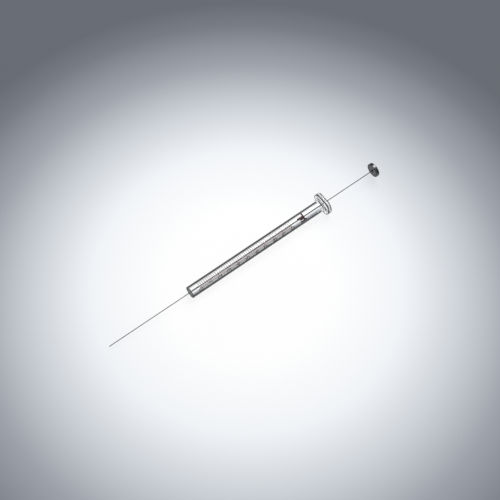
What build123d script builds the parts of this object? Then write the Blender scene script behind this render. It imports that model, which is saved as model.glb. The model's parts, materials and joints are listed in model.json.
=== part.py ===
# A 10 microlitre syringe: a thick-walled glass barrel with a fired scale, a fine steel needle
# cemented into its front end and a wire plunger with a round metal thumb button.
#
# The common axis runs along +X, from the needle towards the button. The origin is the centre of
# the barrel's needle-end face. +Z is up: the flange lies on one of its two flats. Sizes are in
# millimetres and angles in degrees.
import math
import os

from build123d import *

os.makedirs("parts", exist_ok=True)

# Barrel tube
barrel_diameter = 6.7
bore_diameter = 0.46  # 60 mm of this bore holds 10 microlitres
front_edge_radius = 0.35  # fire-polished rim of the needle end
bore_mouth_diameter = 1.1  # funnel that leads the wire into the bore
bore_mouth_depth = 0.45

# Scale fired on the glass
scale_capacity = 10  # microlitres at the last line
divisions_per_unit = 5
scale_length = 60.0  # from the zero line to the last line
zero_line_setback = 5.6  # from the needle-end face to the zero line
mark_width = 0.20
mark_thickness = 0.05
minor_mark_start = -25.0  # angles from straight up, towards +Y
minor_mark_sweep = 48.0
unit_mark_start = -38.0  # the unit lines pass the others at both ends
unit_mark_sweep = 78.0

# Finger flange, pressed from the same glass
plain_length = 19.4  # bare tube from the last line to the flare
flare_length = 2.4
flare_rise = 1.1
flange_diameter = 12.8
flange_thickness = 2.4
flange_across_flats = 10.6
flange_corner_radius = 1.0
flange_edge_radius = 0.45

# Needle and its cement
needle_diameter = 0.47
needle_bore_diameter = 0.13
needle_length = 50.0  # in front of the glass
bevel_angle = 18.0  # of the point, to the needle's axis
cement_film = 0.10  # between the needle and its seat
cement_recess = 0.15  # the cement stops this far inside the face

# Plunger
plunger_clearance = 0.015  # radial, between the wire and the bore
stop_clearance = 0.10  # wire to needle when the wire's end is at the zero line
plunger_reading = 2.85  # microlitres, as the syringe lies at rest
thumb_gap = 16.5  # flange to button at the zero line
wire_end_chamfer = 0.04

# Thumb button
button_diameter = 8.2
button_thickness = 1.8
button_edge_chamfer = 0.25
dimple_diameter = 2.2  # countersink round the wire
dimple_depth = 0.45
socket_depth = 1.3  # blind hole that holds the wire's end

# Radii and stations along the axis
barrel_radius = barrel_diameter / 2
bore_radius = bore_diameter / 2
needle_radius = needle_diameter / 2
seat_radius = needle_radius + cement_film
wire_radius = bore_radius - plunger_clearance
flare_radius = barrel_radius + flare_rise
button_radius = button_diameter / 2

seat_depth = zero_line_setback - stop_clearance
scale_end = zero_line_setback + scale_length
flare_start = scale_end + plain_length
flange_front = flare_start + flare_length
barrel_end = flange_front + flange_thickness

unit_pitch = scale_length / scale_capacity
mark_pitch = unit_pitch / divisions_per_unit
wire_tip = zero_line_setback + plunger_reading * unit_pitch
button_front = barrel_end + thumb_gap + plunger_reading * unit_pitch
button_back = button_front + button_thickness
wire_end = button_front + socket_depth


# Barrel: tube and flange are one piece of glass
with BuildPart() as barrel:
    # the flange disc, its two flats and its rounded edges
    with BuildSketch(Plane.YZ.offset(flange_front)) as flange_outline:
        Circle(flange_diameter / 2)
        Rectangle(flange_diameter, flange_across_flats, mode=Mode.INTERSECT)
        fillet(flange_outline.vertices(), radius=flange_corner_radius)
    extrude(amount=flange_thickness)
    fillet(barrel.faces().filter_by(Axis.X).edges(), radius=flange_edge_radius)

    # the tube, from its fire-polished front rim to the flare that runs out on the flange
    with BuildSketch(Plane.XY) as tube_section:
        with BuildLine() as tube_outline:
            Polyline(
                (flange_front, flare_radius),
                (flange_front + flange_thickness / 2, flare_radius),
                (flange_front + flange_thickness / 2, 0),
                (0, 0),
                (0, barrel_radius - front_edge_radius),
            )
            TangentArc(
                (0, barrel_radius - front_edge_radius),
                (front_edge_radius, barrel_radius),
                tangent=(0, 1),
            )
            Line((front_edge_radius, barrel_radius), (flare_start, barrel_radius))
            TangentArc((flare_start, barrel_radius), (flange_front, flare_radius), tangent=(1, 0))
        make_face()
    revolve(axis=Axis.X)

    # the needle's seat, the bore and the bore's funnel-shaped mouth
    with BuildSketch(Plane.XY) as bore_section:
        with BuildLine() as bore_outline:
            Polyline(
                (0, 0),
                (0, seat_radius),
                (seat_depth, seat_radius),
                (seat_depth, bore_radius),
                (barrel_end - bore_mouth_depth, bore_radius),
                (barrel_end, bore_mouth_diameter / 2),
                (barrel_end, 0),
                close=True,
            )
        make_face()
    revolve(axis=Axis.X, mode=Mode.SUBTRACT)

barrel.part.label = "barrel"
export_step(barrel.part, "parts/barrel.step")


# Needle: a drawn tube with a bevelled point, its blunt end square in the seat
with BuildPart() as needle:
    with BuildSketch(Plane.YZ.offset(-needle_length)):
        Circle(needle_radius)
        Circle(needle_bore_diameter / 2, mode=Mode.SUBTRACT)
    extrude(amount=needle_length + seat_depth)
    bevel_run = needle_diameter / math.tan(math.radians(bevel_angle))
    with BuildSketch(Plane.XZ) as bevel_cut:
        with BuildLine():
            Polyline(
                (-needle_length, -needle_radius),
                (-needle_length + bevel_run, needle_radius),
                (-needle_length, needle_radius),
                close=True,
            )
        make_face()
    extrude(amount=needle_diameter, both=True, mode=Mode.SUBTRACT)

needle.part.label = "needle"
export_step(needle.part, "parts/needle.step")


# Cement: the sleeve of adhesive between the needle and its seat
with BuildPart() as needle_cement:
    with BuildSketch(Plane.YZ.offset(cement_recess)):
        Circle(seat_radius)
        Circle(needle_radius, mode=Mode.SUBTRACT)
    extrude(amount=seat_depth - cement_recess)

needle_cement.part.label = "needle_cement"
export_step(needle_cement.part, "parts/needle_cement.step")


# Plunger wire: fits the bore along its whole length and ends in the button's socket
with BuildPart() as plunger_wire:
    with BuildSketch(Plane.YZ.offset(wire_tip)):
        Circle(wire_radius)
    extrude(amount=wire_end - wire_tip)
    chamfer(plunger_wire.edges().group_by(Axis.X)[0], length=wire_end_chamfer)

plunger_wire.part.label = "plunger_wire"
export_step(plunger_wire.part, "parts/plunger_wire.step")


# Thumb button: a turned disc, countersunk round the wire, with a blind socket for its end
with BuildPart() as thumb_button:
    with BuildSketch(Plane.YZ.offset(button_front)):
        Circle(button_radius)
    extrude(amount=button_thickness)
    chamfer(thumb_button.faces().filter_by(Axis.X).edges(), length=button_edge_chamfer)
    with BuildSketch(Plane.XY) as socket_section:
        with BuildLine():
            Polyline(
                (button_front, 0),
                (button_front, dimple_diameter / 2),
                (button_front + dimple_depth, wire_radius),
                (wire_end, wire_radius),
                (wire_end, 0),
                close=True,
            )
        make_face()
    revolve(axis=Axis.X, mode=Mode.SUBTRACT)

thumb_button.part.label = "thumb_button"
export_step(thumb_button.part, "parts/thumb_button.step")


# Scale: thin raised lines of fired enamel, seated on the outside of the tube
mark_height = barrel_radius + mark_thickness / 2
mark_count = scale_capacity * divisions_per_unit + 1
mark_places = [(zero_line_setback + index * mark_pitch, mark_height) for index in range(mark_count)]
unit_places = mark_places[::divisions_per_unit]
minor_places = [place for place in mark_places if place not in unit_places]


# lines of one length, as one group of separate solids
def scale_marks(name, places, start, sweep):
    with BuildPart() as marks:
        with BuildSketch(Plane.XZ.rotated((-start, 0, 0))):
            with Locations(*places):
                Rectangle(mark_width, mark_thickness)
        revolve(axis=Axis.X, revolution_arc=-sweep)
    marks.part.label = name
    export_step(marks.part, f"parts/{name}.step")


scale_marks("scale_unit_marks", unit_places, unit_mark_start, unit_mark_sweep)
scale_marks("scale_minor_marks", minor_places, minor_mark_start, minor_mark_sweep)
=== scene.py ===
import json
import math

import bpy
import bmesh
from mathutils import Matrix, Vector


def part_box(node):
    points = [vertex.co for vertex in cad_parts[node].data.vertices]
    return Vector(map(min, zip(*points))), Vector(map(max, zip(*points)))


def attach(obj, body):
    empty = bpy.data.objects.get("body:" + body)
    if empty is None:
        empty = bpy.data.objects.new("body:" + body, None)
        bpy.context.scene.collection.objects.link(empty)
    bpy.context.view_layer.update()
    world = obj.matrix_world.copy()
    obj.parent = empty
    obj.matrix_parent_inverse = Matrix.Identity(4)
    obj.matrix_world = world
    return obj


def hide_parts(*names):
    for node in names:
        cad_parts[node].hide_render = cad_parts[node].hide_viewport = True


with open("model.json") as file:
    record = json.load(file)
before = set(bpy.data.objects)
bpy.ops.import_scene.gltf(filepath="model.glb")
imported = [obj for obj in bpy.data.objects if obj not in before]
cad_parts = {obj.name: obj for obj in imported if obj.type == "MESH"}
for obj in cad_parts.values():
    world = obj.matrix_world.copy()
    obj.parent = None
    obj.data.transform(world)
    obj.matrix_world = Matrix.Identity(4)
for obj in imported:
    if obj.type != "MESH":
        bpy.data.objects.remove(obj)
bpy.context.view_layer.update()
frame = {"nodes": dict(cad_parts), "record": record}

mm = 0.001
mounts = {entry["name"]: entry for entry in frame["record"]["mounts"]}
print("frame loaded:", ", ".join(sorted(frame["nodes"])))


# a colour, or a share of it, with full cover
def rgba(colour, share=1.0):
    return (*(share * part for part in colour), 1.0)


# link a wire to an input, or set the input's own value
def plug(tree, target, value):
    if isinstance(value, Wire):
        tree.links.new(value.socket, target)
    else:
        target.default_value = value


# a socket that can be written as arithmetic; every operator adds one Math node
class Wire:
    def __init__(self, tree, socket):
        self.tree = tree
        self.socket = socket

    def maths(self, operation, first, second=None):
        node = self.tree.nodes.new("ShaderNodeMath")
        node.operation = operation
        values = [first] if second is None else [first, second]
        for index, value in enumerate(values):
            plug(self.tree, node.inputs[index], value)
        return Wire(self.tree, node.outputs[0])

    def __add__(self, other):
        return self.maths("ADD", self, other)

    def __radd__(self, other):
        return self.maths("ADD", other, self)

    def __sub__(self, other):
        return self.maths("SUBTRACT", self, other)

    def __rsub__(self, other):
        return self.maths("SUBTRACT", other, self)

    def __mul__(self, other):
        return self.maths("MULTIPLY", self, other)

    def __rmul__(self, other):
        return self.maths("MULTIPLY", other, self)

    def __truediv__(self, other):
        return self.maths("DIVIDE", self, other)

    def __pow__(self, other):
        return self.maths("POWER", self, other)

    def most(self, other):
        return self.maths("MAXIMUM", self, other)


# one tree, of a material, the world or Geometry Nodes
class Tree:
    def __init__(self, tree):
        self.tree = tree
        tree.nodes.clear()

    # settings come first, then the sockets, given by name or index
    def add(self, kind, settings=None, inputs=None, out=0):
        node = self.tree.nodes.new(kind)
        for name, value in (settings or {}).items():
            if name == "stops":
                self.setStops(node.color_ramp, value)
            else:
                setattr(node, name, value)
        for name, value in (inputs or {}).items():
            plug(self.tree, node.inputs[name], value)
        return Wire(self.tree, node.outputs[out]) if len(node.outputs) else node

    def setStops(self, ramp, stops):
        while len(ramp.elements) > 1:
            ramp.elements.remove(ramp.elements[-1])
        for index, (place, colour) in enumerate(stops):
            stop = ramp.elements[0] if index == 0 else ramp.elements.new(place)
            stop.position = place
            stop.color = rgba(colour)

    def ramp(self, stops, place):
        return self.add("ShaderNodeValToRGB", {"stops": stops}, {0: place})

    def mixColour(self, factor, first, second, blend="MIX"):
        return self.add(
            "ShaderNodeMix",
            {"data_type": "RGBA", "blend_type": blend},
            {0: factor, 6: first, 7: second},
            out=2,
        )

    # a colour that runs to a share of itself
    def mottled(self, factor, colour, share):
        return self.mixColour(factor, rgba(colour), rgba(colour, share))

    def objectPlace(self):
        return self.add("ShaderNodeTexCoord", out=3)

    # noise over the object's own axes, finer along an axis with a larger scale
    def noise(self, scales, detail=3.0):
        stretched = self.add(
            "ShaderNodeMapping", inputs={"Vector": self.objectPlace(), "Scale": scales}
        )
        return self.add(
            "ShaderNodeTexNoise",
            inputs={"Vector": stretched, "Scale": 1.0, "Detail": detail, "Roughness": 0.5},
        )

    def bump(self, strength, depth, height):
        return self.add(
            "ShaderNodeBump", inputs={"Strength": strength, "Distance": depth, "Height": height}
        )

    def span(self, value, fromLow, fromHigh, toLow, toHigh):
        return self.add(
            "ShaderNodeMapRange",
            {"interpolation_type": "SMOOTHSTEP"},
            {0: value, 1: fromLow, 2: fromHigh, 3: toLow, 4: toHigh},
        )

    # the three parts of a vector
    def split(self, vector):
        node = self.tree.nodes.new("ShaderNodeSeparateXYZ")
        plug(self.tree, node.inputs[0], vector)
        return [Wire(self.tree, output) for output in node.outputs]

    # what kind of ray looks, one wire for each name
    def rays(self, *names):
        node = self.tree.nodes.new("ShaderNodeLightPath")
        return [Wire(self.tree, node.outputs[name]) for name in names]


def newMaterial(name):
    material = bpy.data.materials.new(name)
    material.use_nodes = True
    return material, Tree(material.node_tree)


def surface(tree, shader):
    tree.add("ShaderNodeOutputMaterial", inputs={"Surface": shader})


# end a material in one Principled shader
def principled(material, tree, inputs):
    surface(tree, tree.add("ShaderNodeBsdfPrincipled", inputs=inputs))
    return material


glass = {"ior": 1.474, "body": (0.985, 0.992, 0.995)}

tubeLook = {
    "side": (0.002, 0.0022, 0.003),  # painted shade: the colour the tube darkens to at its sides
    "sideSpan": (0.10, 0.32),  # where the painted shade sets in; 0 is square to the eye and 1 edge on
    "fadeSpan": (0.060, 0.080),  # past the scale the sides are narrower; metres along the tube
    "fade": 0.93,
    "endOn": 0.02,  # keeps the painted side shade finite where the tube is seen from its end
    "roughness": 0.02,
    "smudges": (60, 200, 200),
}


# clear glass with painted shade at its sides, standing in for the dark surroundings seen through
# them; the shade stays at the tube's own sides from wherever it is seen
def makeTubeGlass():
    material, tree = newMaterial("clearBorosilicate")
    turned = tree.add("ShaderNodeLayerWeight", inputs={"Blend": 0.5}, out=1)
    axis = tree.add("ShaderNodeCombineXYZ", inputs={0: 1.0})
    leaned = tree.add("ShaderNodeLayerWeight", inputs={"Blend": 0.5, "Normal": axis}, out=1)
    square = (1 - (1 - leaned) * (1 - leaned)).most(tubeLook["endOn"]) ** 0.5
    facing = 1 - (1 - turned) / square
    along = tree.split(tree.objectPlace())[0]
    side = facing * tree.span(along, *tubeLook["fadeSpan"], 1.0, tubeLook["fade"])
    stops = list(zip(tubeLook["sideSpan"], (glass["body"], tubeLook["side"])))
    # painted shade: the glass colour darkens towards the tube's sides
    paintedSideShade = tree.ramp(stops, side)
    smudge = tree.noise(tubeLook["smudges"])
    return principled(material, tree, {
        "Base Color": paintedSideShade,
        "Roughness": tubeLook["roughness"] * smudge,
        "Transmission Weight": 1.0,
        "IOR": glass["ior"],
    })


flangeLook = {
    "cover": 0.5,  # the rest of the light goes straight through
    "coverSpread": 0.1,
    "gloss": 0.1,
    "roughness": 0.02,
    "ripple": (350, 350, 350),
}


# the pressed flange
def makeFlangeGlass():
    material, tree = newMaterial("flangeGlass")
    ripple = tree.noise(flangeLook["ripple"], 2.0)
    return principled(material, tree, {
        "Base Color": rgba(glass["body"]),
        "Roughness": flangeLook["roughness"] * ripple,
        "Transmission Weight": 1.0,
        "IOR": glass["ior"],
        "Specular IOR Level": flangeLook["gloss"],
        "Alpha": flangeLook["cover"] + flangeLook["coverSpread"] * (ripple - 0.5),
    })


rimShadeLook = {
    # near-black colour: painted shade along the flange's edges
    "colour": (0.025, 0.026, 0.029),
    "pale": 1.6,  # paler patches in the painted shade, as a share of the colour
    "roughness": 0.12,
    "cover": 0.9,
    "coverSpread": 0.2,
    "ripple": (400, 400, 400),
}


# the flange's rounded edges, coloured near black as painted shade: the dark lines that glass edges
# show
def makeRimGlass():
    material, tree = newMaterial("flangeRimGlass")
    ripple = tree.noise(rimShadeLook["ripple"], 2.0)
    return principled(material, tree, {
        "Base Color": tree.mottled(ripple, rimShadeLook["colour"], rimShadeLook["pale"]),
        "Roughness": rimShadeLook["roughness"],
        "IOR": glass["ior"],
        "Specular IOR Level": flangeLook["gloss"],
        "Alpha": rimShadeLook["cover"] + rimShadeLook["coverSpread"] * (ripple - 0.5),
    })


boreLook = {
    "colour": (0.30, 0.285, 0.28),
    "deep": 0.8,
    "roughness": 0.35,
    "roughnessSpread": 0.1,
    "haze": (300, 4000, 4000),
}


# the drawn wall of the bore, a little hazy
def makeBoreGlass():
    material, tree = newMaterial("boreGlass")
    haze = tree.noise(boreLook["haze"])
    return principled(material, tree, {
        "Base Color": tree.mottled(haze, boreLook["colour"], boreLook["deep"]),
        "Roughness": boreLook["roughness"] + boreLook["roughnessSpread"] * haze,
        "Transmission Weight": 1.0,
        "IOR": glass["ior"],
    })


groundShadeLook = {
    # near-black colour: painted shade of the ground end
    "colour": (0.085, 0.089, 0.096),
    "deep": 0.8,
    "roughness": 0.55,
    "clear": 0.75,
    "relief": 0.25,
    "grain": (9000, 9000, 9000),
}


# the ground face and rim at the needle's end: the ground finish is real, the near-black colour is
# painted shade of the end
def makeGroundGlass():
    material, tree = newMaterial("groundGlassEnd")
    grain = tree.noise(groundShadeLook["grain"], 2.0)
    return principled(material, tree, {
        "Base Color": tree.mottled(grain, groundShadeLook["colour"], groundShadeLook["deep"]),
        "Roughness": groundShadeLook["roughness"],
        "Transmission Weight": groundShadeLook["clear"],
        "IOR": glass["ior"],
        "Normal": tree.bump(groundShadeLook["relief"], 0.02 * mm, grain),
    })


steels = {
    "needleSteel": {"colour": (0.24, 0.24, 0.245), "roughness": 0.32, "metallic": 1.0},
    # the wire's near-black colour is painted reflection of a dark room; the steel itself is paler
    "plungerWireSteel": {"colour": (0.045, 0.045, 0.047), "roughness": 0.6, "metallic": 0.6},
}
steelGrain = {
    "streaks": (150, 9000, 9000),
    "streakSpread": 0.25,
    "relief": 0.2,
    "clouds": (220, 220, 220),
    "deep": 0.82,
}


# drawn or ground steel, with fine streaks along the axis
def makeDrawnSteel(name):
    look = steels[name]
    material, tree = newMaterial(name)
    streak = tree.noise(steelGrain["streaks"], 4.0)
    cloud = tree.noise(steelGrain["clouds"], 2.0)
    return principled(material, tree, {
        "Base Color": tree.mottled(cloud, look["colour"], steelGrain["deep"]),
        "Metallic": look["metallic"],
        "Roughness": look["roughness"] + steelGrain["streakSpread"] * (streak - 0.5),
        "Normal": tree.bump(steelGrain["relief"], 0.01 * mm, streak),
    })


button = {
    "front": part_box("thumb_button")[0][0] / mm,
    "back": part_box("thumb_button")[1][0] / mm,
    "radius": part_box("thumb_button")[1][1] / mm,
    "edge": 0.25,
    "edgeSteps": 6,
    "support": 0.02,  # rings this close to an edge keep the large faces flat
    "dimpleRadius": 1.1,
    "dimpleDepth": 0.45,
    "socketRadius": 0.217,  # just clear of the wire
    "socketDepth": 1.3,
    "centreRadius": 0.05,
}

buttonLook = {
    "colour": (0.085, 0.085, 0.09),
    "worn": (0.17, 0.17, 0.175),
    "wearSpan": (0.52, 0.78),
    "wearMost": 0.8,
    "rings": [  # painted reflection and shade over the radius, as a share of the disc's: a dark centre, light and dark rings, a brighter wall for the highlight
        (0.20, (0.38, 0.38, 0.39)),
        (0.30, (1.15, 1.15, 1.16)),
        (0.62, (1.25, 1.22, 1.25)),
        (0.80, (0.55, 0.55, 0.57)),
        (0.93, (0.42, 0.42, 0.44)),
        (0.985, (1.2, 1.2, 1.2)),
    ],
    "roughness": 0.30,
    "roughnessSpread": 0.14,
    "groovePitch": 0.16,
    "relief": 0.35,
    "scratches": (900, 900, 900),
    "scratchShare": 0.6,  # of the grooves' depth
}


def makeTurnedMetal():
    material, tree = newMaterial("turnedButtonMetal")
    across, upward = tree.split(tree.objectPlace())[1:]
    radius = (across * across + upward * upward) ** 0.5
    grooves = radius.maths("SINE", radius * (2 * math.pi / (buttonLook["groovePitch"] * mm)))
    scratch = tree.noise(buttonLook["scratches"], 5.0)
    wear = tree.span(scratch, *buttonLook["wearSpan"], 0.0, buttonLook["wearMost"])
    metal = tree.mixColour(wear, rgba(buttonLook["colour"]), rgba(buttonLook["worn"]))
    # painted reflection rings, a painted shade at the centre and a painted highlight on the wall
    paintedRingTone = tree.ramp(buttonLook["rings"], radius / (button["radius"] * mm))
    height = grooves + buttonLook["scratchShare"] * scratch
    return principled(material, tree, {
        "Base Color": tree.mixColour(1.0, metal, paintedRingTone, "MULTIPLY"),
        "Metallic": 1.0,
        "Roughness": buttonLook["roughness"] + buttonLook["roughnessSpread"] * (scratch - 0.5),
        "Normal": tree.bump(buttonLook["relief"], 0.01 * mm, height),
    })


enamelLook = {
    "colour": (0.055, 0.022, 0.020),
    "thin": (0.16, 0.06, 0.05),
    "thinSpan": (0.45, 0.8),
    "roughness": 0.42,
    "roughnessSpread": 0.2,
    "relief": 0.3,
    "patches": (2500, 2500, 2500),
}


def makeEnamel():
    material, tree = newMaterial("firedScaleEnamel")
    patch = tree.noise(enamelLook["patches"], 4.0)
    thin = tree.span(patch, *enamelLook["thinSpan"], 0.0, 1.0)
    return principled(material, tree, {
        "Base Color": tree.mixColour(thin, rgba(enamelLook["colour"]), rgba(enamelLook["thin"])),
        "Roughness": enamelLook["roughness"] + enamelLook["roughnessSpread"] * patch,
        "Normal": tree.bump(enamelLook["relief"], 0.01 * mm, patch),
    })


cementLook = {
    "colour": (0.15, 0.147, 0.142),
    "bubbles": (0.25, 0.245, 0.235),
    "roughness": 0.45,
    "roughnessSpread": 0.2,
    "blobs": (3000, 3000, 3000),
}


def makeCement():
    material, tree = newMaterial("setCement")
    blobs = tree.noise(cementLook["blobs"], 4.0)
    return principled(material, tree, {
        "Base Color": tree.mixColour(
            blobs, rgba(cementLook["colour"]), rgba(cementLook["bubbles"])
        ),
        "Roughness": cementLook["roughness"] + cementLook["roughnessSpread"] * blobs,
    })


clearGlass = makeTubeGlass()
flangeGlass = makeFlangeGlass()
rimPaintedShade = makeRimGlass()
boreGlass = makeBoreGlass()
groundShadedGlass = makeGroundGlass()
needleSteel = makeDrawnSteel("needleSteel")
wireSteel = makeDrawnSteel("plungerWireSteel")
buttonMetal = makeTurnedMetal()
scaleEnamel = makeEnamel()
needleCement = makeCement()
print("materials made")


def addObject(name, mesh, materials):
    for material in materials:
        mesh.materials.append(material)
    piece = bpy.data.objects.new(name, mesh)
    bpy.context.scene.collection.objects.link(piece)
    return piece


# a skin over rings with the same number of points; the last joins the first, or both are capped
def skin(name, rings, materials, closeLoop=True, sharp=30.0):
    bm = bmesh.new()
    rows = [[bm.verts.new(point) for point in ring] for ring in rings]
    count = len(rows[0])
    pairs = list(zip(rows, rows[1:]))
    if closeLoop:
        pairs.append((rows[-1], rows[0]))
    for low, high in pairs:
        for index in range(count):
            following = (index + 1) % count
            bm.faces.new((low[index], low[following], high[following], high[index]))
    if not closeLoop:
        bm.faces.new(rows[0])
        bm.faces.new(rows[-1])
    bmesh.ops.recalc_face_normals(bm, faces=bm.faces)
    mesh = bpy.data.meshes.new(name)
    bm.to_mesh(mesh)
    bm.free()
    mesh.polygons.foreach_set("use_smooth", [True] * len(mesh.polygons))
    mesh.set_sharp_from_angle(angle=math.radians(sharp))
    return addObject(name, mesh, materials)


tube = {
    "radius": mounts["tube_outside"]["dims"]["r_mm"],
    "flangeFront": mounts["flange_front"]["pos_m"][0] / mm,
    "flangeBack": mounts["flange_back"]["pos_m"][0] / mm,
    "flangeRadius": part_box("barrel")[1][1] / mm,
    "flatHeight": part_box("barrel")[1][2] / mm,
    "flareRise": 1.1,
    "flareLength": 2.4,
    "flareSteps": 12,
    "frontEdge": 0.35,
    "flangeEdge": 0.45,
    "edgeSteps": 8,
    "support": 0.02,  # rings this close to an edge keep the large faces flat
    "darkEdge": 0.18,  # how far the rim's painted shade runs on over its wall
    "rimReach": 0.3,  # the rim starts this far outside the flare
    "rimMargin": 0.05,
    "flatNormal": 0.985,  # a face squarer than this to the axis isn't part of the rim
    "boreRadius": 0.23,
    "seatRadius": 0.345,
    "seatDepth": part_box("needle")[1][0] / mm,
    "mouthRadius": 0.55,
    "mouthDepth": 0.45,
    "groundBand": 0.6,  # the front rim is ground too
    "margin": 0.01,
    "cornerPower": 26,
    "around": 192,
}


def ringAngles():
    return [2 * math.pi * index / tube["around"] for index in range(tube["around"])]


def circleRing(place, radius):
    return [
        (place * mm, radius * math.cos(angle) * mm, radius * math.sin(angle) * mm)
        for angle in ringAngles()
    ]


# the flange's outline, a circle with two flats, drawn in by inset
def flangeRing(place, inset):
    power = tube["cornerPower"]
    points = []
    for angle in ringAngles():
        rise = max(abs(math.sin(angle)), 1e-6)
        arc = tube["flangeRadius"] - inset
        flat = (tube["flatHeight"] - inset) / rise
        radius = (arc ** -power + flat ** -power) ** (-1 / power)
        points.append((place * mm, radius * math.cos(angle) * mm, radius * math.sin(angle) * mm))
    return points


# a quarter turn from a face to a wall: how far below the face, and how far inside the wall
def quarterTurn(edge, steps):
    turns = [0.5 * math.pi * step / steps for step in range(steps + 1)]
    return [(edge * (1 - math.cos(turn)), edge * (1 - math.sin(turn))) for turn in turns]


def barrelRings():
    radius = tube["radius"]
    front = tube["flangeFront"]
    back = tube["flangeBack"]
    edge = tube["flangeEdge"]
    close = tube["support"]
    flareStart = front - tube["flareLength"]
    flangeTurn = quarterTurn(edge, tube["edgeSteps"])

    # out over the flange's back, its rim and its front
    rings = [circleRing(back, tube["mouthRadius"]), circleRing(back, tube["mouthRadius"] + close)]
    rings.append(flangeRing(back, edge + close))
    rings += [flangeRing(back - below, inset) for below, inset in flangeTurn]
    rings.append(flangeRing(back - edge - tube["darkEdge"], 0))
    rings.append(flangeRing(front + edge + tube["darkEdge"], 0))
    rings += [flangeRing(front + below, inset) for below, inset in reversed(flangeTurn)]
    rings.append(flangeRing(front, edge + close))

    # down the flare and along the tube to its front face
    rings.append(circleRing(front, radius + tube["flareRise"] + close))
    arc = (tube["flareLength"] ** 2 + tube["flareRise"] ** 2) / (2 * tube["flareRise"])
    sweep = math.asin(tube["flareLength"] / arc)
    for step in range(tube["flareSteps"] + 1):
        turn = sweep * (1 - step / tube["flareSteps"])
        place = flareStart + arc * math.sin(turn)
        rings.append(circleRing(place, radius + arc * (1 - math.cos(turn))))
    rings.append(circleRing(flareStart - close, radius))
    rings.append(circleRing(tube["groundBand"], radius))
    rings.append(circleRing(tube["frontEdge"] + close, radius))
    for inset, below in quarterTurn(tube["frontEdge"], tube["edgeSteps"]):
        rings.append(circleRing(below, radius - inset))
    rings.append(circleRing(0, radius - tube["frontEdge"] - close))

    # back through the needle's seat and the bore
    rings.append(circleRing(0, tube["seatRadius"] + close))
    rings.append(circleRing(0, tube["seatRadius"]))
    rings.append(circleRing(tube["seatDepth"], tube["seatRadius"]))
    rings.append(circleRing(tube["seatDepth"], tube["boreRadius"]))
    rings.append(circleRing(back - tube["mouthDepth"], tube["boreRadius"]))
    return rings


def makeBarrel():
    finishes = [clearGlass, groundShadedGlass, flangeGlass, rimPaintedShade, boreGlass]
    ground, flange, rim, bore = range(1, len(finishes))
    piece = skin("barrelGlass", barrelRings(), finishes)
    flareStart = tube["flangeFront"] - tube["flareLength"]
    rimStart = tube["radius"] + tube["flareRise"] + tube["rimReach"]
    rimDepth = tube["flangeEdge"] + 0.5 * tube["darkEdge"] + tube["rimMargin"]
    for face in piece.data.polygons:
        place = face.center[0] / mm
        reach = math.hypot(face.center[1], face.center[2]) / mm
        if place < tube["groundBand"] and reach > tube["seatRadius"] + tube["margin"]:
            face.material_index = ground
        elif reach < tube["boreRadius"] + tube["margin"]:
            face.material_index = bore
        elif place > flareStart and reach > tube["radius"]:
            below = min(place - tube["flangeFront"], tube["flangeBack"] - place)
            onRim = reach > rimStart and below < rimDepth
            onRim = onRim and abs(face.normal[0]) < tube["flatNormal"]
            face.material_index = rim if onRim else flange
    return piece


barrelGlass = makeBarrel()
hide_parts("barrel")
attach(barrelGlass, "barrel")
print("barrel made:", len(barrelGlass.data.polygons), "faces")


def makeButton():
    radius = button["radius"]
    edge = button["edge"]
    front = button["front"]
    back = button["back"]
    close = button["support"]
    edgeTurn = quarterTurn(edge, button["edgeSteps"])
    rings = [circleRing(front + button["socketDepth"], button["socketRadius"])]
    rings.append(circleRing(front + button["dimpleDepth"], button["socketRadius"]))
    rings.append(circleRing(front, button["dimpleRadius"]))
    rings.append(circleRing(front, button["dimpleRadius"] + close))
    rings.append(circleRing(front, radius - edge - close))
    rings += [circleRing(front + below, radius - inset) for below, inset in edgeTurn]
    rings.append(circleRing(front + edge + close, radius))
    rings.append(circleRing(back - edge - close, radius))
    rings += [circleRing(back - below, radius - inset) for below, inset in reversed(edgeTurn)]
    rings.append(circleRing(back, radius - edge - close))
    rings.append(circleRing(back, button["centreRadius"]))
    return skin("thumbButtonDisc", rings, [buttonMetal], closeLoop=False)


thumbButton = makeButton()
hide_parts("thumb_button")
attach(thumbButton, "plunger")
print("button made")


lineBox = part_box("scale_unit_marks")
scale = {
    "lineWidth": 0.20,
    "lines": 51,
    "linesPerUnit": 5,
    "sunk": 0.01,  # into the glass
    "proud": 0.03,
    "minorStart": -25.0,
    "minorSweep": 48.0,
    "unitStart": -38.0,
    "unitSweep": 78.0,
    "arcSteps": 14,
}
scale["first"] = lineBox[0][0] / mm + scale["lineWidth"] / 2
scale["last"] = lineBox[1][0] / mm - scale["lineWidth"] / 2
scale["pitch"] = (scale["last"] - scale["first"]) / (scale["lines"] - 1)


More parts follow.
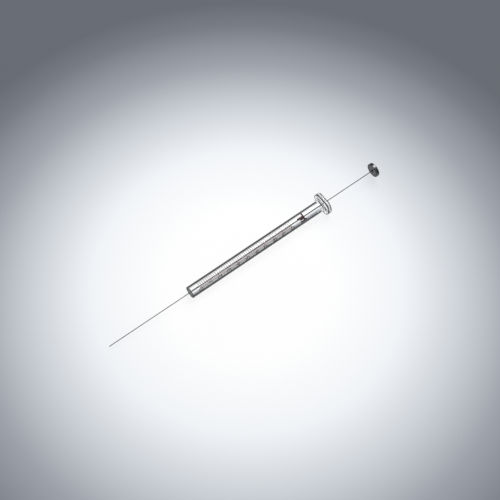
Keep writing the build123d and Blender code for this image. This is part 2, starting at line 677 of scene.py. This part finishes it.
# lines bent round the tube, repeated along it; Units Only at 1 leaves the unit lines, at 0 the rest
def makeLineTree():
    group = bpy.data.node_groups.new("scaleLines", "GeometryNodeTree")
    group.interface.new_socket(name="Geometry", in_out="OUTPUT", socket_type="NodeSocketGeometry")
    for name in ("First", "Pitch", "Radius", "Start", "Sweep", "Width", "Thickness"):
        group.interface.new_socket(name=name, in_out="INPUT", socket_type="NodeSocketFloat")
    for name in ("Count", "Per Unit", "Units Only"):
        group.interface.new_socket(name=name, in_out="INPUT", socket_type="NodeSocketInt")
    group.interface.new_socket(name="Ink", in_out="INPUT", socket_type="NodeSocketMaterial")
    tree = Tree(group)
    source = group.nodes.new("NodeGroupInput")
    given = {socket.name: Wire(group, socket) for socket in source.outputs if socket.name}
    size = tree.add(
        "ShaderNodeCombineXYZ",
        inputs={0: given["Width"], 1: given["Sweep"], 2: given["Thickness"]},
    )
    bar = tree.add(
        "GeometryNodeMeshCube",
        inputs={
            "Size": size,
            "Vertices X": 2,
            "Vertices Y": scale["arcSteps"] + 1,
            "Vertices Z": 2,
        },
    )
    along, around, outward = tree.split(tree.add("GeometryNodeInputPosition"))
    angle = around + given["Start"] + given["Sweep"] / 2
    reach = outward + given["Radius"] + given["Thickness"] / 2
    bent = tree.add("ShaderNodeCombineXYZ", inputs={
        0: along,
        1: reach * angle.maths("SINE", angle),
        2: reach * angle.maths("COSINE", angle),
    })
    line = tree.add("GeometryNodeSetPosition", inputs={"Geometry": bar, "Position": bent})
    start = tree.add("ShaderNodeCombineXYZ", inputs={0: given["First"]})
    step = tree.add("ShaderNodeCombineXYZ", inputs={0: given["Pitch"]})
    row = tree.add(
        "GeometryNodeMeshLine",
        inputs={"Count": given["Count"], "Start Location": start, "Offset": step},
    )
    index = tree.add("GeometryNodeInputIndex")
    rest = index.maths("MODULO", index, given["Per Unit"])
    isUnit = rest.maths("LESS_THAN", rest, 0.5)
    chosen = isUnit.maths("COMPARE", isUnit, given["Units Only"])
    copies = tree.add(
        "GeometryNodeInstanceOnPoints",
        inputs={"Points": row, "Selection": chosen, "Instance": line},
    )
    joined = tree.add("GeometryNodeRealizeInstances", inputs={"Geometry": copies})
    inked = tree.add(
        "GeometryNodeSetMaterial", inputs={"Geometry": joined, "Material": given["Ink"]}
    )
    tree.add("NodeGroupOutput", inputs={0: inked})
    return group


# the plain mesh of an object once its modifiers or its text have been worked out
def settledMesh(holder):
    bpy.context.scene.collection.objects.link(holder)
    graph = bpy.context.evaluated_depsgraph_get()
    graph.update()
    mesh = bpy.data.meshes.new_from_object(holder.evaluated_get(graph), depsgraph=graph)
    holder.modifiers.clear()
    bpy.data.objects.remove(holder)
    return mesh


# run a tree on an empty mesh
def fromTree(name, group, values):
    holder = bpy.data.objects.new(name + "Holder", bpy.data.meshes.new(name + "Empty"))
    modifier = holder.modifiers.new("nodes", "NODES")
    modifier.node_group = group
    for socket in group.interface.items_tree:
        if socket.in_out == "INPUT":
            modifier[socket.identifier] = values[socket.name]
    mesh = settledMesh(holder)
    mesh.name = name
    return mesh


lineTree = makeLineTree()


def makeLines(name, node, start, sweep, unitsOnly):
    mesh = fromTree(name, lineTree, {
        "First": scale["first"] * mm,
        "Pitch": scale["pitch"] * mm,
        "Radius": (tube["radius"] - scale["sunk"]) * mm,
        "Start": math.radians(start),
        "Sweep": math.radians(sweep),
        "Width": scale["lineWidth"] * mm,
        "Thickness": (scale["sunk"] + scale["proud"]) * mm,
        "Count": scale["lines"],
        "Per Unit": scale["linesPerUnit"],
        "Units Only": unitsOnly,
        "Ink": scaleEnamel,
    })
    piece = addObject(name, mesh, [])
    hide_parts(node)
    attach(piece, "barrel")
    print(name, len(mesh.polygons), "faces", [round(v / mm, 2) for v in piece.dimensions])


makeLines("scaleUnitLines", "scale_unit_marks", scale["unitStart"], scale["unitSweep"], 1)
makeLines("scaleMinorLines", "scale_minor_marks", scale["minorStart"], scale["minorSweep"], 0)


# thin translucent bands from the zero line to the last: painted shadow of the scale beside the
# lines, and a pale band under the lettering
bands = {
    # a brownish sheet of painted shadow of the scale, beside the lines
    "scaleBand": {"colour": (0.27, 0.165, 0.15), "cover": 0.32, "start": -24.0, "end": -47.0},
    # a pale sheet under the figures that lightens the tube there
    "figureGround": {"colour": (0.88, 0.86, 0.86), "cover": 0.34, "start": -48.0, "end": -64.0},
}
bandMake = {
    "inner": 0.002,  # off the glass
    "outer": 0.012,
    "steps": 8,
    "patches": (400, 2500, 2500),
    "coverSpread": 0.10,
    "roughness": 0.45,
    "roughnessSpread": 0.2,
}


def makeBandEnamel(name, look):
    material, tree = newMaterial(name + "Enamel")
    patch = tree.noise(bandMake["patches"])
    return principled(material, tree, {
        "Base Color": rgba(look["colour"]),
        "Roughness": bandMake["roughness"] + bandMake["roughnessSpread"] * patch,
        "Alpha": look["cover"] + bandMake["coverSpread"] * (patch - 0.5),
    })


def makeBand(name, look):
    low = (scale["first"] - 0.5 * scale["lineWidth"]) * mm
    high = (scale["last"] + 0.5 * scale["lineWidth"]) * mm
    inner = (tube["radius"] + bandMake["inner"]) * mm
    outer = (tube["radius"] + bandMake["outer"]) * mm
    rings = []
    for step in range(bandMake["steps"] + 1):
        share = step / bandMake["steps"]
        turn = math.radians(look["start"] * (1 - share) + look["end"] * share)
        rings.append([
            (x, reach * math.sin(turn), reach * math.cos(turn))
            for x, reach in ((low, inner), (high, inner), (high, outer), (low, outer))
        ])
    piece = skin(name, rings, [makeBandEnamel(name, look)], closeLoop=False)
    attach(piece, "barrel")


for bandName, bandLook in bands.items():
    makeBand(bandName, bandLook)
print("bands made")


# the lettering stands with its tops towards the needle
figures = {
    "height": 2.7,
    "endAngle": -40.5,  # just past the ends of the unit lines
    "narrow": 0.88,
    "bold": 0.0,
    "signHeight": 4.1,
    "signAngle": -21.0,
    "signPlace": 8.9,  # its base line, past the last line
    "signWidth": 4.7,
    "signBold": 0.05,
    "capShare": 0.72,  # a capital's height, as a share of the type size
    "curveSteps": 3,
    "weld": 1e-5,
    "longestEdge": 0.35,  # finer than this the lettering bends well round the tube
    "splits": 3,
}


# flat lettering as a fine mesh, its lower left corner at the origin, in millimetres
def letters(name, body, height, bold):
    curve = bpy.data.curves.new(name, "FONT")
    curve.body = body
    curve.size = height / figures["capShare"]
    curve.offset = bold * curve.size
    curve.resolution_u = figures["curveSteps"]
    bm = bmesh.new()
    bm.from_mesh(settledMesh(bpy.data.objects.new(name, curve)))
    bmesh.ops.remove_doubles(bm, verts=bm.verts, dist=figures["weld"])
    bmesh.ops.triangulate(bm, faces=bm.faces)
    for _ in range(figures["splits"]):
        long = [edge for edge in bm.edges if edge.calc_length() > figures["longestEdge"]]
        if long:
            bmesh.ops.subdivide_edges(bm, edges=long, cuts=1)
            bmesh.ops.triangulate(bm, faces=bm.faces)
    low = Vector((min(vert.co.x for vert in bm.verts), min(vert.co.y for vert in bm.verts), 0))
    bmesh.ops.translate(bm, verts=bm.verts, vec=-low)
    return bm


# lay lettering on the tube as a thin raised film; place gives the x and angle of a flat point
def wrap(bm, name, place):
    grown = bmesh.ops.extrude_face_region(bm, geom=list(bm.faces))
    raised = {item for item in grown["geom"] if isinstance(item, bmesh.types.BMVert)}
    for vert in bm.verts:
        along, turn = place(vert.co.x, vert.co.y)
        reach = tube["radius"] + (scale["proud"] if vert in raised else -scale["sunk"])
        vert.co = Vector((along, reach * math.sin(turn), reach * math.cos(turn))) * mm
    bmesh.ops.recalc_face_normals(bm, faces=bm.faces)
    mesh = bpy.data.meshes.new(name)
    bm.to_mesh(mesh)
    bm.free()
    return mesh


# one figure, centred on its unit line and ending just past it
def makeFigure(number):
    name = f"figure{number}"
    line = scale["first"] + number * scale["linesPerUnit"] * scale["pitch"]
    bm = letters(name, str(number), figures["height"], figures["bold"])
    width = max(vert.co.x for vert in bm.verts)
    end = math.radians(figures["endAngle"])
    return wrap(bm, name, lambda x, y: (
        line + 0.5 * figures["height"] - y,
        end + (x - width) * figures["narrow"] / tube["radius"],
    ))


# the unit sign, with its base line taken from the letter without a tail
def makeUnitSign():
    bm = letters("unitSign", "µL", figures["signHeight"], figures["signBold"])
    width = max(vert.co.x for vert in bm.verts)
    base = min(vert.co.y for vert in bm.verts if vert.co.x > 0.6 * width)
    middle = math.radians(figures["signAngle"])
    return wrap(bm, "unitSign", lambda x, y: (
        scale["last"] + figures["signPlace"] + base - y,
        middle + (x / width - 0.5) * figures["signWidth"] / tube["radius"],
    ))


def makeFigures():
    units = (scale["lines"] - 1) // scale["linesPerUnit"]
    meshes = [makeFigure(number) for number in range(units + 1)] + [makeUnitSign()]
    bm = bmesh.new()
    for mesh in meshes:
        bm.from_mesh(mesh)
    whole = bpy.data.meshes.new("scaleFigures")
    bm.to_mesh(whole)
    bm.free()
    return addObject("scaleFigures", whole, [scaleEnamel])


scaleFigures = makeFigures()
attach(scaleFigures, "barrel")
print("figures made:", len(scaleFigures.data.polygons), "faces")


def dress(node, material):
    piece = frame["nodes"][node]
    piece.data.materials.clear()
    piece.data.materials.append(material)


dress("needle", needleSteel)
dress("needle_cement", needleCement)
dress("plunger_wire", wireSteel)
print("needle, cement and wire dressed")


# the syringe lies on the flange's lower flat and on the front rim of the tube
restBack = Vector((tube["flangeFront"] + tube["flangeEdge"], 0, -tube["flatHeight"])) * mm
restFront = Vector((tube["frontEdge"], 0, -tube["radius"])) * mm

floorLook = {
    "half": 3.0,
    "centre": (0.029, -0.012, 0.0),
    "reach": 0.20,
    "fade": [  # painted pool of light: the floor pales from slate to white towards the syringe
        (0.22, (1.0, 1.0, 1.0)),
        (0.41, (0.89, 0.91, 0.94)),
        (0.56, (0.62, 0.65, 0.69)),
        (0.71, (0.345, 0.37, 0.415)),
        (0.86, (0.185, 0.203, 0.235)),
        (0.95, (0.14, 0.153, 0.178)),
    ],
    "ownLight": 0.88,  # share of the floor that shows as lit whatever falls on it
    "glow": [  # seen through glass, the floor is a panel that glows less to one side
        (0.0, (0.26, 0.275, 0.305)),
        (0.027, (0.37, 0.385, 0.42)),
        (0.074, (0.57, 0.59, 0.62)),
        (0.124, (1.0, 1.0, 1.0)),
    ],
    "dimSide": (0.27, 0.834, -0.4815),
}


def makeFloorLook():
    material, tree = newMaterial("paleFloor")
    place = tree.objectPlace()
    centred = tree.add(
        "ShaderNodeVectorMath", {"operation": "SUBTRACT"}, {0: place, 1: floorLook["centre"]}
    )
    distance = tree.add("ShaderNodeVectorMath", {"operation": "LENGTH"}, {0: centred}, out=1)
    colour = tree.ramp(floorLook["fade"], distance / floorLook["reach"])
    lit = tree.add("ShaderNodeBsdfDiffuse", inputs={"Color": colour})
    shown = tree.add("ShaderNodeEmission", inputs={"Color": colour, "Strength": 1.0})
    camera, glossy, through = tree.rays("Is Camera Ray", "Is Glossy Ray", "Is Transmission Ray")
    share = camera.most(glossy) * floorLook["ownLight"]
    seen = tree.add("ShaderNodeMixShader", inputs={0: share, 1: lit, 2: shown})
    dimSide = tree.add("ShaderNodeCombineXYZ", inputs=dict(enumerate(floorLook["dimSide"])))
    slant = tree.add("ShaderNodeLayerWeight", inputs={"Blend": 0.5, "Normal": dimSide}, out=1)
    glow = tree.ramp(floorLook["glow"], slant)
    panel = tree.mixColour(1.0, colour, glow, "MULTIPLY")
    backdrop = tree.add("ShaderNodeEmission", inputs={"Color": panel})
    surface(tree, tree.add("ShaderNodeMixShader", inputs={0: through, 1: seen, 2: backdrop}))
    return material


def makeFloor():
    half = floorLook["half"]
    slope = (restBack.z - restFront.z) / (restBack.x - restFront.x)
    mesh = bpy.data.meshes.new("floor")
    corners = [(-half, -half), (half, -half), (half, half), (-half, half)]
    mesh.from_pydata(
        [(x, y, restFront.z + slope * (x - restFront.x)) for x, y in corners], [], [(0, 1, 2, 3)]
    )
    floor = addObject("floor", mesh, [makeFloorLook()])


worldLook = {
    "colour": (0.96, 0.98, 1.0),
    "side": 0.08,
    "top": 0.50,
    "rise": (0.0, 0.9),  # from the side's strength to the top's
    "shown": 0.24,  # to the camera, as the far floor
    "through": 0.14,  # low down, seen through glass
    "throughRise": (0.3, 0.8),
}


def makeWorld():
    world = bpy.data.worlds.new("studio")
    bpy.context.scene.world = world
    world.use_nodes = True
    tree = Tree(world.node_tree)
    height = tree.split(tree.add("ShaderNodeTexCoord", out=0))[2]
    glow = tree.span(height, *worldLook["rise"], worldLook["side"], worldLook["top"])
    direct, through = tree.rays("Is Camera Ray", "Is Transmission Ray")
    seen = tree.span(height, *worldLook["throughRise"], worldLook["through"], 1.0)
    indirect = through * seen + (1 - through) * glow
    strength = direct * worldLook["shown"] + (1 - direct) * indirect
    shader = tree.add(
        "ShaderNodeBackground", inputs={"Color": rgba(worldLook["colour"]), "Strength": strength}
    )
    tree.add("ShaderNodeOutputWorld", inputs={"Surface": shader})


softbox = {"place": (0.42, 0.24, 0.66), "target": (0.04, 0, 0), "size": 0.5, "power": 4.6}


def addSoftbox():
    lamp = bpy.data.lights.new("softbox", "AREA")
    lamp.shape = "DISK"
    lamp.size = softbox["size"]
    lamp.energy = softbox["power"]
    holder = bpy.data.objects.new("softbox", lamp)
    bpy.context.scene.collection.objects.link(holder)
    place = Vector(softbox["place"])
    holder.location = place
    holder.rotation_euler = (Vector(softbox["target"]) - place).to_track_quat("-Z", "Y").to_euler()


view = {
    "azimuth": -36.74,
    "elevation": 63.39,
    "distance": 539.9,
    "target": (40.04, 1.18, 0.0),
    "focal": 1016.8,  # in pixels of a 500 pixel frame
    "frame": 500.0,
    "sensor": 36.0,
    "nearest": 0.01,
    "farthest": 50.0,
}


def makeCamera():
    azimuth = math.radians(view["azimuth"])
    elevation = math.radians(view["elevation"])
    back = Vector((
        math.sin(azimuth) * math.cos(elevation),
        -math.cos(azimuth) * math.cos(elevation),
        math.sin(elevation),
    ))
    right = Vector((math.cos(azimuth), math.sin(azimuth), 0))
    up = back.cross(right)
    lens = bpy.data.cameras.new("camera")
    lens.sensor_width = view["sensor"]
    lens.lens = lens.sensor_width * view["focal"] / view["frame"]
    lens.clip_start = view["nearest"]
    lens.clip_end = view["farthest"]
    holder = bpy.data.objects.new("camera", lens)
    bpy.context.scene.collection.objects.link(holder)
    turned = Matrix((right, up, back)).transposed().to_4x4()
    turned.translation = (Vector(view["target"]) + back * view["distance"]) * mm
    holder.matrix_world = turned
    bpy.context.scene.camera = holder


makeFloor()
makeWorld()
addSoftbox()
makeCamera()
bpy.context.scene.view_settings.view_transform = "Standard"
print("studio ready")
